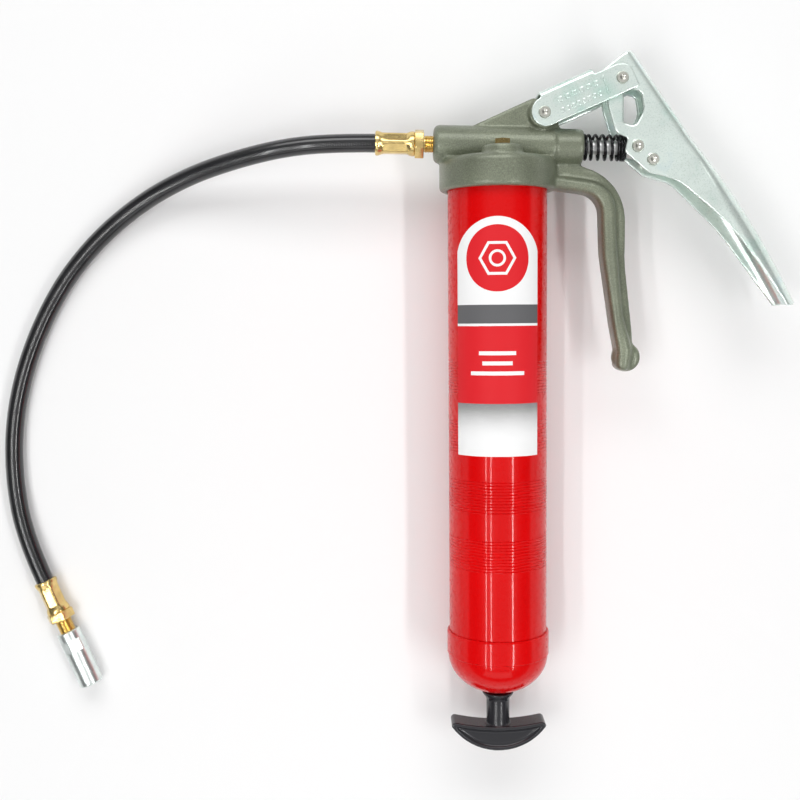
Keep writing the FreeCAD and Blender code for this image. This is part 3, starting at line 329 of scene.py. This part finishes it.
def printed_label(name, paint):
    """The label: arched white field, roundel with a hexagon nut, grey band, red field and fading dots."""
    f = Finish(name).set(Roughness=0.55)
    f.shader.inputs["Specular IOR Level"].default_value = 0.3
    split = f.tree.nodes.new("ShaderNodeSeparateXYZ")
    f.join(f.coords, split.inputs[0])
    across = f.math("SUBTRACT", split.outputs[0], BARREL_X)
    height = f.math("SUBTRACT", split.outputs[2], AXIS_Z)
    around = f.math("ARCTAN2", across, height)
    u = f.math("MULTIPLY", f.math("ADD", around, math.radians(5.0)), 28.5)
    v = f.math("MULTIPLY", f.math("SUBTRACT", split.outputs[1], CAP_RIM_Y), 1000.0)

    def above(value, edge):
        return f.math("GREATER_THAN", value, edge)

    def between(value, low, high):
        return f.math("MULTIPLY", above(value, low), f.math("LESS_THAN", value, high))

    def circle(cu, cv, radius):
        du, dv = f.math("SUBTRACT", u, cu), f.math("SUBTRACT", v, cv)
        reach = f.math("SQRT", f.math("ADD", f.math("MULTIPLY", du, du), f.math("MULTIPLY", dv, dv)))
        return reach, f.math("LESS_THAN", reach, radius)

    def hexagon(cu, cv, apothem):
        du, dv = f.math("SUBTRACT", u, cu), f.math("SUBTRACT", v, cv)
        worst = f.math("ABSOLUTE", dv)
        for turn in (60, 120):
            c, s = math.sin(math.radians(turn)), math.cos(math.radians(turn))
            side = f.math("ABSOLUTE", f.math("ADD", f.math("MULTIPLY", du, c), f.math("MULTIPLY", dv, s)))
            worst = f.math("MAXIMUM", worst, side)
        return f.math("LESS_THAN", worst, apothem)

    red, grey, white = paint.print_red, paint.print_grey, (0.88, 0.88, 0.88)
    reach, roundel = circle(0.0, 216.0, 18.4)
    nut = f.math("SUBTRACT", hexagon(0.0, 216.0, 9.2), hexagon(0.0, 216.0, 7.7))
    _, hole = circle(0.0, 216.0, 4.7)
    _, hole_inner = circle(0.0, 216.0, 3.3)
    hole_ring = f.math("SUBTRACT", hole, hole_inner)
    mark = f.math("MAXIMUM", nut, hole_ring)
    shown = f.mix(roundel, white, tuple(red))
    shown = f.mix(mark, shown, white)
    shown = f.mix(between(v, 180.0, 190.4), shown, tuple(grey))
    for n, half in enumerate((10.5, 8.5, 15.5)):
        bar = f.math("MULTIPLY", between(v, 162.4 - n * 5.6, 164.6 - n * 5.6),
                     f.math("LESS_THAN", f.math("ABSOLUTE", u), half))
        field = f.mix(bar, tuple(red), white) if n == 0 else f.mix(bar, field, white)
    shown = f.mix(between(v, 135.3, 178.6), shown, field)
    dots_u = f.math("SUBTRACT", f.math("PINGPONG", f.math("ADD", u, 100.0), 0.55), 0.275)
    dots_v = f.math("SUBTRACT", f.math("PINGPONG", v, 0.55), 0.275)
    dot = f.math("ADD", f.math("MULTIPLY", dots_u, dots_u), f.math("MULTIPLY", dots_v, dots_v))
    share = f.math("DIVIDE", f.math("SUBTRACT", v, 114.0), 21.3)
    limit = f.math("MULTIPLY", f.math("MULTIPLY", share, share), 0.11)
    dotted = f.math("MULTIPLY", f.math("LESS_THAN", dot, limit), above(v, 114.0))
    shown = f.mix(f.math("LESS_THAN", v, 135.3), shown, f.mix(dotted, white, (0.22, 0.22, 0.22)))
    f.colour(shown)
    f.bump(f.noise(500, 2), 0.04, 0.0002)
    return f.material


def finishes():
    """All the materials, once, by name."""
    paint = bpy.context.scene.grease_gun_paint
    makers = {
        "head_enamel": lambda n: hammered_paint(n, paint.head),
        "barrel_enamel": lambda n: gloss_enamel(n, paint.barrel),
        "zinc_plate": lambda n: bright_zinc(n, paint.zinc),
        "coupler_plate": lambda n: turned_metal(n, (0.80, 0.86, 0.84), 0.22, 0.40),
        "brass_turned": lambda n: turned_metal(n, paint.brass, 0.14, 0.34),
        "ground_steel": lambda n: turned_metal(n, (0.72, 0.72, 0.71), 0.10, 0.22),
        "rivet_plate": lambda n: turned_metal(n, (0.62, 0.62, 0.56), 0.20, 0.40),
        "black_oxide": lambda n: turned_metal(n, (0.030, 0.030, 0.032), 0.18, 0.36),
        "drawn_wire": lambda n: turned_metal(n, (0.45, 0.45, 0.45), 0.25, 0.40),
        "black_plastic": lambda n: moulded_plastic(n, (0.012, 0.012, 0.014)),
        "seal_rubber": lambda n: moulded_plastic(n, (0.02, 0.02, 0.02)),
        "hose_cover": hose_cover,
        "label_print": lambda n: printed_label(n, paint),
    }
    for name, make in makers.items():
        if name not in bpy.data.materials:
            make(name)
    return bpy.data.materials


# ---- mesh helpers ----

def piece(name, bm, body, material, nodes=(), smooth_deg=35.0, matrix=None):
    """Finishes a bmesh as an object that rides on a body and stands for CAD nodes."""
    if matrix is not None:
        bmesh.ops.transform(bm, matrix=matrix, verts=bm.verts)
    mesh = bpy.data.meshes.new(name)
    bm.to_mesh(mesh)
    bm.free()
    mesh.materials.append(finishes()[material])
    for polygon in mesh.polygons:
        polygon.use_smooth = True
    mesh.set_sharp_from_angle(angle=math.radians(smooth_deg))
    obj = bpy.data.objects.new(name, mesh)
    bpy.context.scene.collection.objects.link(obj)
    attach(obj, body)
    if nodes:
        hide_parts(*nodes)
    return obj


def turned(bm, profile, steps=72):
    """Spins a profile of (x, radius) in millimetres about X; returns the new vertices."""
    before = set(bm.verts)
    verts = [bm.verts.new((x / 1000, r / 1000, 0)) for x, r in profile]
    edges = [bm.edges.new(pair) for pair in zip(verts, verts[1:])]
    bmesh.ops.spin(bm, geom=verts + edges, cent=(0, 0, 0), axis=(1, 0, 0), dvec=(0, 0, 0),
                   angle=2 * math.pi, steps=steps, use_merge=True, use_duplicate=False)
    made = [v for v in bm.verts if v not in before]
    bmesh.ops.remove_doubles(bm, verts=made, dist=1e-7)
    made = [v for v in bm.verts if v not in before]
    faces = list({f for v in made for f in v.link_faces})
    bmesh.ops.recalc_face_normals(bm, faces=faces)
    return made


def hexagon(bm, corner, start, end, turn=0.0):
    """A hexagonal collar along X whose corners are chamfered at both ends."""
    before = set(bm.verts)
    place = Matrix.Translation(((start + end) / 2, 0, 0)) @ Matrix.Rotation(turn, 4, "X") @ TO_X
    bmesh.ops.create_cone(bm, cap_ends=True, segments=6, radius1=corner, radius2=corner,
                          depth=end - start, matrix=place)
    made = [v for v in bm.verts if v not in before]
    edges = list({e for v in made for e in v.link_edges})
    bmesh.ops.bevel(bm, geom=edges, offset=0.00035, offset_type="OFFSET", affect="EDGES", segments=3,
                    profile=0.5, material=-1)


def coil(bm, radius, wire, stretches, sides=14):
    """Spins a wire's circle about X; stretches are (turns, rise per turn)."""
    turn = Matrix.Translation((wire / 2, radius - wire / 2, 0))
    made = bmesh.ops.create_circle(bm, cap_ends=True, segments=sides, radius=wire / 2, matrix=turn)["verts"]
    ring = list({e for v in made for e in v.link_edges})
    cap = [f for f in bm.faces]
    first = cap[0]
    loop = made + ring
    for turns, rise in stretches:
        steps = max(8, int(turns * 40))
        out = bmesh.ops.spin(bm, geom=loop, cent=(0, 0, 0), axis=(1, 0, 0),
                             dvec=(turns * rise / steps, 0, 0), angle=turns * 2 * math.pi, steps=steps,
                             use_duplicate=False)
        loop = out["geom_last"]
    last_edges = [g for g in loop if isinstance(g, bmesh.types.BMEdge)]
    bmesh.ops.contextual_create(bm, geom=last_edges)
    bmesh.ops.recalc_face_normals(bm, faces=bm.faces)
    return first


def evened(node, voxel, rounds, before=None):
    """A merged copy of a CAD node's mesh, evenly meshed and with its edges eased."""
    bm = bmesh.new()
    bm.from_mesh(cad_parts[node].data)
    bmesh.ops.remove_doubles(bm, verts=bm.verts, dist=1e-6)
    if before:
        before(bm)
    mesh = bpy.data.meshes.new(node + "_copy")
    bm.to_mesh(mesh)
    bm.free()
    blank = bpy.data.objects.new(node + "_copy", mesh)
    bpy.context.scene.collection.objects.link(blank)
    remesh = blank.modifiers.new("even", "REMESH")
    remesh.mode = "VOXEL"
    remesh.voxel_size = voxel
    remesh.use_smooth_shade = True
    ready = blank.evaluated_get(bpy.context.evaluated_depsgraph_get())
    even = bpy.data.meshes.new_from_object(ready)
    bpy.data.objects.remove(blank)
    bm = bmesh.new()
    bm.from_mesh(even)
    for _ in range(rounds):
        bmesh.ops.smooth_vert(bm, verts=bm.verts, factor=0.5, use_axis_x=True, use_axis_y=True, use_axis_z=True)
    return bm


# ---- pieces ----

def carry_over():
    """Gives each CAD node that stays in view its finish."""
    looks = {
        "head_enamel": ["head_casting"],
        "barrel_enamel": ["barrel_tube", "end_cap"],
        "label_print": ["barrel_label"],
        "black_plastic": ["t_handle"],
        "zinc_plate": ["trigger_lever", "link_channel"],
        "rivet_plate": ["link_pin", "lever_pin", "plunger_pin", "spacer_rivet"],
        "ground_steel": ["pump_plunger", "follower_rod", "check_ball", "seal_washer"],
        "black_oxide": ["spring_washer"],
        "drawn_wire": ["follower_spring", "vent_spring", "check_spring", "coupler_spring", "follower_plate",
                       "follower_backing", "rod_stop_washer", "rod_nut", "coupler_jaws"],
        "brass_turned": ["vent_body", "vent_stem"],
        "seal_rubber": ["barrel_gasket", "plunger_seal", "follower_cup", "coupler_seal", "rod_bush"],
        "coupler_plate": ["coupler_body", "coupler_sleeve"],
    }
    for material, names in looks.items():
        for name in names:
            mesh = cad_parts[name].data
            mesh.materials.clear()
            mesh.materials.append(finishes()[material])


class GREASEGUN_OT_finishes(bpy.types.Operator):
    """Give the carried-over pieces their finishes"""
    bl_idname = "grease_gun.finishes"
    bl_label = "Finishes"

    def execute(self, context):
        carry_over()
        return {"FINISHED"}


class GREASEGUN_OT_hose(bpy.types.Operator):
    """Lay the hose along its route"""
    bl_idname = "grease_gun.hose"
    bl_label = "Hose"

    def execute(self, context):
        sizes = context.scene.grease_gun_sizes
        curve = bpy.data.curves.new("hose_line", "CURVE")
        curve.dimensions = "3D"
        curve.bevel_depth = sizes.hose_diameter / 2
        curve.bevel_resolution = 8
        curve.use_fill_caps = True
        curve.resolution_u = 16
        spline = curve.splines.new("NURBS")
        spline.points.add(len(HOSE_POINTS) - 1)
        for point, place in zip(spline.points, HOSE_POINTS):
            point.co = (*place, 1.0)
        spline.order_u = 3
        spline.use_endpoint_u = True
        curve.materials.append(finishes()["hose_cover"])
        obj = bpy.data.objects.new("hose_line", curve)
        context.scene.collection.objects.link(obj)
        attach(obj, "head")
        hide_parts("hose")
        return {"FINISHED"}


def crimped_ferrule(name, length, place, node):
    """A ferrule with six crimped flats along its waist and flared, rounded ends."""
    bm = bmesh.new()
    flare, waist, bore = 7.0, 6.25, 5.32
    profile = [(1.2, bore), (0.35, bore + 0.2), (0.0, bore + 0.6), (0.0, flare - 0.7), (0.25, flare - 0.2),
               (0.9, flare), (1.8, flare - 0.1), (2.7, flare - 0.45), (3.6, waist), (5.0, waist)]
    profile += [(x, waist) for x in (length * 0.35, length * 0.5, length * 0.65)]
    profile += [(length - 6.0, waist), (length - 4.6, waist + 0.05), (length - 3.0, flare - 0.3),
                (length - 1.6, flare), (length - 0.5, flare - 0.05), (length, flare - 0.5), (length, 2.4),
                (length - 2.0, 2.4), (length - 2.0, bore)]
    verts = turned(bm, profile + [profile[0]], steps=72)
    apothem = 0.0057
    for v in verts:
        x, radius = v.co.x, math.hypot(v.co.y, v.co.z)
        if not 0.0042 < x < length / 1000 - 0.0045 or radius < 0.0056:
            continue
        turn = math.atan2(v.co.z, v.co.y)
        off = (turn + math.pi / 6) % (math.pi / 3) - math.pi / 6
        limit = apothem / math.cos(off)
        if radius > limit:
            v.co.y *= limit / radius
            v.co.z *= limit / radius
    bmesh.ops.recalc_face_normals(bm, faces=bm.faces)
    return piece(name, bm, "head", "brass_turned", [node], 25, place)


def threaded_nipple(name, ferrule_length, shown, turn, place, node, sizes):
    """A nipple: spigot, chamfered hexagon, and a thread with its real pitch."""
    bm = bmesh.new()
    pitch = sizes.thread_pitch * 1000
    start = ferrule_length + 5.1
    end = start + shown + 8.0
    profile = [(4.0, 0), (4.0, 2.4), (ferrule_length + 0.2, 2.4), (ferrule_length + 0.2, 4.4), (start + 0.2, 4.4)]
    x = start + 0.6
    while x + pitch < end - 0.3:
        profile += [(x, 4.38), (x + pitch * 0.42, 4.88), (x + pitch * 0.58, 4.88)]
        x += pitch
    profile += [(x, 4.38), (end, 4.3), (end, 0)]
    turned(bm, profile, steps=48)
    hexagon(bm, sizes.hex_corner, ferrule_length / 1000, start / 1000, turn)
    return piece(name, bm, "head", "brass_turned", [node], 30, place)


class GREASEGUN_OT_fittings(bpy.types.Operator):
    """Turn the brass fittings at both ends of the hose"""
    bl_idname = "grease_gun.fittings"
    bl_label = "Hose fittings"

    def execute(self, context):
        sizes = context.scene.grease_gun_sizes
        crimped_ferrule("head_ferrule_crimped", 22.6, HEAD_FITTING, "head_ferrule")
        threaded_nipple("head_nipple_threaded", 22.6, 5.4, math.radians(51), HEAD_FITTING, "head_nipple", sizes)
        turned_end = END @ Matrix.Rotation(math.radians(30), 4, "X")
        crimped_ferrule("end_ferrule_crimped", 21.0, turned_end, "end_ferrule")
        threaded_nipple("end_nipple_threaded", 21.0, 8.0, 0.0, END, "end_nipple", sizes)
        return {"FINISHED"}


class GREASEGUN_OT_spring(bpy.types.Operator):
    """Wind the black return spring round the plunger"""
    bl_idname = "grease_gun.spring"
    bl_label = "Return spring"

    def execute(self, context):
        sizes = context.scene.grease_gun_sizes
        length = 0.02290
        wire = sizes.spring_wire
        closed = wire * 1.03
        live = length - wire - 2.1 * closed
        bm = bmesh.new()
        coil(bm, sizes.spring_radius, wire, [(0.8, closed), (4.4, live / 4.4), (1.3, closed)])
        place = PUMP @ Matrix.Translation((0.0487, 0, 0))
        obj = piece("return_spring_wound", bm, "head", "black_oxide", ["return_spring"], 60, place)
        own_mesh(obj)
        return {"FINISHED"}


class GREASEGUN_OT_follower_spring(bpy.types.Operator):
    """Wind the long spring that pushes the follower up the barrel"""
    bl_idname = "grease_gun.follower_spring"
    bl_label = "Follower spring"

    def execute(self, context):
        low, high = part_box("follower_spring")
        wire, outside = 0.0022, (high.x - low.x) / 2
        turns = 17.0
        bm = bmesh.new()
        coil(bm, outside, wire, [(turns, (high.y - low.y - wire) / turns)], 10)
        place = Matrix.Translation((BARREL_X, low.y, AXIS_Z)) @ Matrix.Rotation(math.pi / 2, 4, "Z")
        obj = piece("follower_spring_wound", bm, "head", "drawn_wire", ["follower_spring"], 60, place)
        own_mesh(obj)
        return {"FINISHED"}


class GREASEGUN_OT_link_marks(bpy.types.Operator):
    """Press a plain double arrow and tick marks into the link's face"""
    bl_idname = "grease_gun.link_marks"
    bl_label = "Link marks"

    def execute(self, context):
        chord = LEVER_PIVOT - LUG_PIVOT
        turn = math.atan2(chord.y, chord.x)
        place = Matrix.Translation((LUG_PIVOT.x, LUG_PIVOT.y, LINK_FACE_Z)) @ Matrix.Rotation(turn, 4, "Z")
        bm = bmesh.new()
        for row, count, start in ((3.1, 6, 8.5), (-3.1, 8, 8.0)):
            step = 26.0 / count
            for n in range(count):
                size = Matrix.Diagonal((step * 0.00058, 0.0026, 0.0008, 1))
                at = Matrix.Translation(((start + step * (n + 0.5)) / 1000, row / 1000, 0.0001))
                bmesh.ops.create_cube(bm, size=1.0, matrix=at @ size)
        bmesh.ops.create_cube(bm, size=1.0, matrix=Matrix.Translation((0.0372, 0, 0.0001))
                              @ Matrix.Diagonal((0.0007, 0.0076, 0.0008, 1)))
        for side in (1, -1):
            tip = Matrix.Translation((0.0372, side * 0.0042, 0.0001)) @ Matrix.Rotation(
                side * math.pi / 2, 4, "Z")
            bmesh.ops.create_cone(bm, cap_ends=True, segments=3, radius1=0.0016, radius2=0.0016, depth=0.0008,
                                  matrix=tip)
        bmesh.ops.bevel(bm, geom=list(bm.edges), offset=0.00009, offset_type="OFFSET", affect="EDGES",
                        segments=2, profile=0.5, material=-1)
        piece("link_marks", bm, "link", "zinc_plate", (), 40, place)
        return {"FINISHED"}


# lamps: name, place, what they point at, size and power in watts
LAMPS = [
    ("left_strip_outer", (-0.72, -0.36, 1.12), (-0.05, -0.36, 0.06), (0.040, 0.85), 2.6),
    ("left_strip_inner", (-0.45, -0.36, 1.12), (-0.05, -0.36, 0.06), (0.040, 0.85), 2.6),
    ("right_strip", (0.533, -0.36, 1.05), (-0.05, -0.36, 0.06), (0.055, 0.85), 4.2),
    ("far_softbox", (-0.15, 1.10, 0.95), (-0.10, 0.0, 0.03), (1.5, 0.6), 10.5),
    ("near_softbox", (-0.15, -1.30, 1.00), (-0.10, 0.0, 0.03), (1.5, 0.6), 3.0),
]


def sky(strength):
    """An even surround, pale near the horizon and darker part of the way up."""
    world = bpy.data.worlds.new("studio_world")
    world.use_nodes = True
    nodes, links = world.node_tree.nodes, world.node_tree.links
    split = nodes.new("ShaderNodeSeparateXYZ")
    links.new(nodes.new("ShaderNodeTexCoord").outputs["Generated"], split.inputs[0])
    ramp = nodes.new("ShaderNodeValToRGB")
    stops = [(0.0, 1.0), (0.17, 0.95), (0.27, 0.14), (0.50, 0.12), (0.78, 0.28), (0.94, 0.66), (1.0, 0.76)]
    while len(ramp.color_ramp.elements) < len(stops):
        ramp.color_ramp.elements.new(0.5)
    for element, (place, level) in zip(ramp.color_ramp.elements, stops):
        element.position = place
        element.color = (level, level, level, 1.0)
    links.new(split.outputs["Z"], ramp.inputs["Fac"])
    background = nodes["Background"]
    background.inputs["Strength"].default_value = strength
    links.new(ramp.outputs["Color"], background.inputs["Color"])
    return world


class GREASEGUN_OT_head(bpy.types.Operator):
    """Ease the head's edges as a casting's are, most of all round the crossbar"""
    bl_idname = "grease_gun.head"
    bl_label = "Head casting"

    def execute(self, context):
        bm = evened("head_casting", 0.0008, 4)
        crossbar = [v for v in bm.verts if v.co.x > BARREL_X + 0.037 and v.co.y < PUMP_Y - 0.013]
        for _ in range(14):
            bmesh.ops.smooth_vert(bm, verts=crossbar, factor=0.5, use_axis_x=True, use_axis_y=True,
                                  use_axis_z=True)
        piece("head_cast", bm, "head", "head_enamel", ["head_casting"], 180)
        return {"FINISHED"}


class GREASEGUN_OT_lever(bpy.types.Operator):
    """Ease the edges of the pressed lever and link"""
    bl_idname = "grease_gun.lever"
    bl_label = "Lever and link"

    def execute(self, context):
        piece("trigger_lever_pressed", evened("trigger_lever", 0.00055, 7), "lever", "zinc_plate",
              ["trigger_lever"], 180)
        piece("link_pressed", evened("link_channel", 0.0005, 3), "link", "zinc_plate",
              ["link_channel"], 180)
        return {"FINISHED"}


def recess(bm):
    """Sinks the broad faces of the handle inside a raised rim."""
    bmesh.ops.dissolve_limit(bm, angle_limit=math.radians(2), verts=bm.verts, edges=bm.edges)
    broad = [f for f in bm.faces if abs(f.normal.z) > 0.99 and f.calc_area() > 2e-4]
    bmesh.ops.inset_individual(bm, faces=broad, thickness=0.0019, depth=-0.0009, use_even_offset=True)


class GREASEGUN_OT_handle(bpy.types.Operator):
    """Mould the T-handle with rims round its grained faces"""
    bl_idname = "grease_gun.handle"
    bl_label = "T-handle"

    def execute(self, context):
        bm = evened("t_handle", 0.0005, 3, before=recess)
        piece("t_handle_moulded", bm, "rod", "black_plastic", ["t_handle"], 180)
        return {"FINISHED"}


class GREASEGUN_OT_stage(bpy.types.Operator):
    """Set the floor, the lights and the camera"""
    bl_idname = "grease_gun.stage"
    bl_label = "Stage"

    def execute(self, context):
        scene = context.scene
        studio = scene.grease_gun_studio
        bm = bmesh.new()
        bmesh.ops.create_grid(bm, x_segments=1, y_segments=1, size=3.0)
        mesh = bpy.data.meshes.new("studio_floor")
        bm.to_mesh(mesh)
        bm.free()
        f = Finish("floor_card").set(Roughness=0.85)
        f.colour(f.ramp(f.noise(3, 2), [(0.2, shade(studio.floor, 0.995)), (0.8, tuple(studio.floor))]))
        mesh.materials.append(f.material)
        floor = bpy.data.objects.new("studio_floor", mesh)
        scene.collection.objects.link(floor)

        scene.view_settings.view_transform = studio.view
        scene.world = sky(studio.world)
        for name, where, aim, (width, height), power in LAMPS:
            light = bpy.data.lights.new(name, "AREA")
            light.shape = "RECTANGLE"
            light.size, light.size_y = width, height
            light.energy = power * studio.lamps
            lamp = bpy.data.objects.new(name, light)
            lamp.location = where
            back = (Vector(where) - Vector(aim)).normalized()
            side = Vector((0, 1, 0)).cross(back).normalized()
            lamp.rotation_euler = Matrix((side, back.cross(side), back)).transposed().to_euler()
            scene.collection.objects.link(lamp)

        camera_data = bpy.data.cameras.new("camera")
        camera_data.lens = 48.6
        camera_data.sensor_width = 36.0
        camera_data.clip_start = 0.01
        camera = bpy.data.objects.new("camera", camera_data)
        forward = Vector((-0.00064231, -0.07671634, -0.99705275)).normalized()
        right = Vector((0.99996495, -0.00837224, 0.0))
        right = (right - forward * right.dot(forward)).normalized()
        up = right.cross(forward)
        turn = Matrix((right, up, -forward)).transposed().to_4x4()
        camera.matrix_world = Matrix.Translation((BARREL_X - 0.0563458, CAP_RIM_Y + 0.1840732, AXIS_Z + 0.627)) @ turn
        scene.collection.objects.link(camera)
        scene.camera = camera
        return {"FINISHED"}


class GREASEGUN_PT_build(bpy.types.Panel):
    """Lists the build steps and their settings"""
    bl_idname = "GREASEGUN_PT_build"
    bl_label = "Grease Gun"
    bl_space_type = "VIEW_3D"
    bl_region_type = "UI"
    bl_category = "Grease Gun"

    def draw(self, context):
        for step in STEPS:
            self.layout.operator(step.bl_idname)
        for group in (context.scene.grease_gun_paint, context.scene.grease_gun_sizes,
                      context.scene.grease_gun_studio):
            box = self.layout.box()
            for name in group.__annotations__:
                box.prop(group, name)


GROUPS = {"grease_gun_paint": GreaseGunPaint, "grease_gun_sizes": GreaseGunSizes,
          "grease_gun_studio": GreaseGunStudio}
STEPS = [GREASEGUN_OT_stage, GREASEGUN_OT_finishes, GREASEGUN_OT_fittings, GREASEGUN_OT_hose,
         GREASEGUN_OT_spring, GREASEGUN_OT_follower_spring, GREASEGUN_OT_head, GREASEGUN_OT_lever, GREASEGUN_OT_link_marks,
         GREASEGUN_OT_handle]


def register():
    for cls in [*GROUPS.values(), *STEPS, GREASEGUN_PT_build]:
        bpy.utils.register_class(cls)
    for name, cls in GROUPS.items():
        setattr(bpy.types.Scene, name, PointerProperty(type=cls))


def unregister():
    for name in GROUPS:
        delattr(bpy.types.Scene, name)
    for cls in reversed([*GROUPS.values(), *STEPS, GREASEGUN_PT_build]):
        bpy.utils.unregister_class(cls)


def main():
    register()
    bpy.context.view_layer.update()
    for step in STEPS:
        group, name = step.bl_idname.split(".")
        getattr(getattr(bpy.ops, group), name)()


if __name__ == "__main__":
    main()
